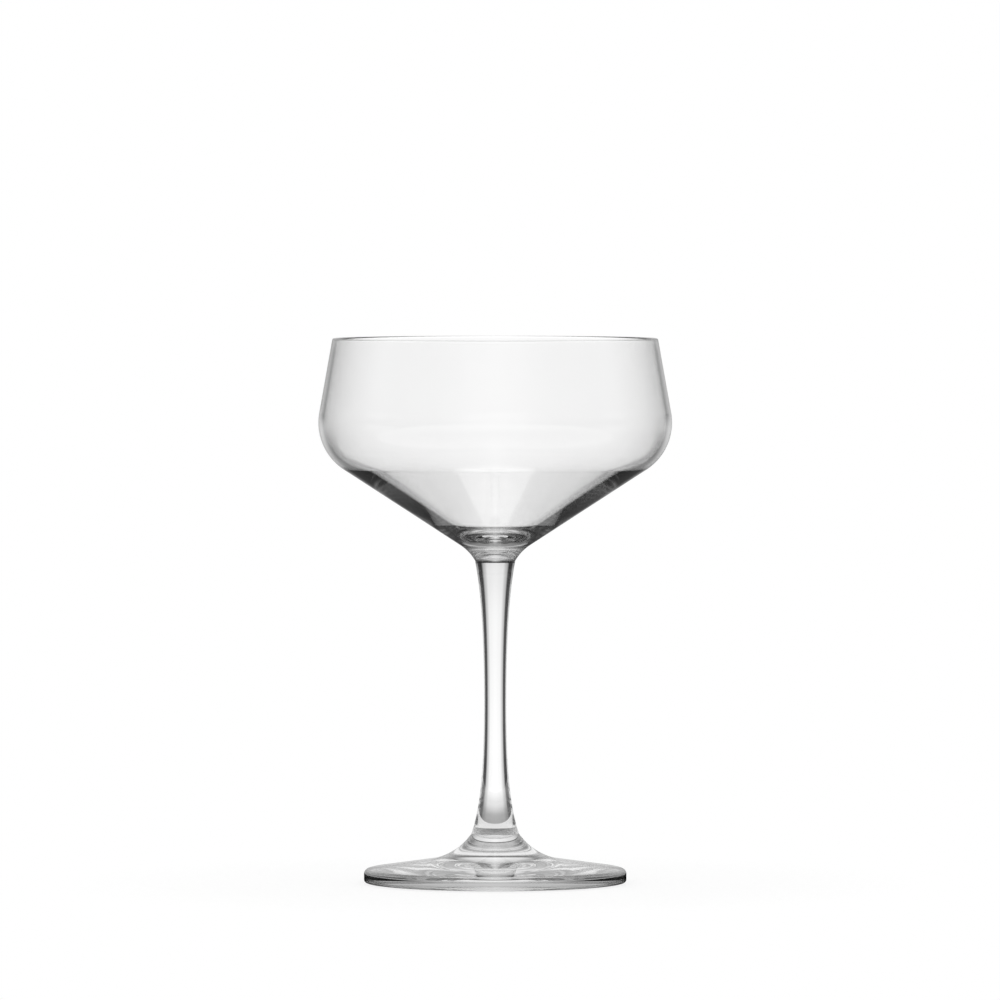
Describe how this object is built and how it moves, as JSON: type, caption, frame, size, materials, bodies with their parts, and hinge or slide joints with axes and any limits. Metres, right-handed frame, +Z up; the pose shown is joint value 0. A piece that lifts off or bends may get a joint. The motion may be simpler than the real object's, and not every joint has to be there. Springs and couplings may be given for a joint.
{
  "type": "coupe glass",
  "caption": "Clear stemmed coupe glass: a shallow, wide bowl with a rounded shoulder and sloping base, on a slim drawn-in stem and a heavy round foot.",
  "frame": {"origin": "centre of the foot's underside, on the surface that the glass stands on", "axes": "+Z up along the glass's turning axis, from the foot to the rim; the glass is the same all round, so +X and +Y are free"},
  "size_m": [0.1072, 0.1072, 0.165],
  "materials": {
    "foot_glass": "clear, pressed and fire-polished",
    "stem_glass": "clear, drawn and fire-polished",
    "bowl_glass": "clear, blown, with a fire-polished rim"
  },
  "bodies": {
    "root": {"foot": "foot_glass", "stem": "stem_glass", "bowl": "bowl_glass"}
  },
  "joints": []
}
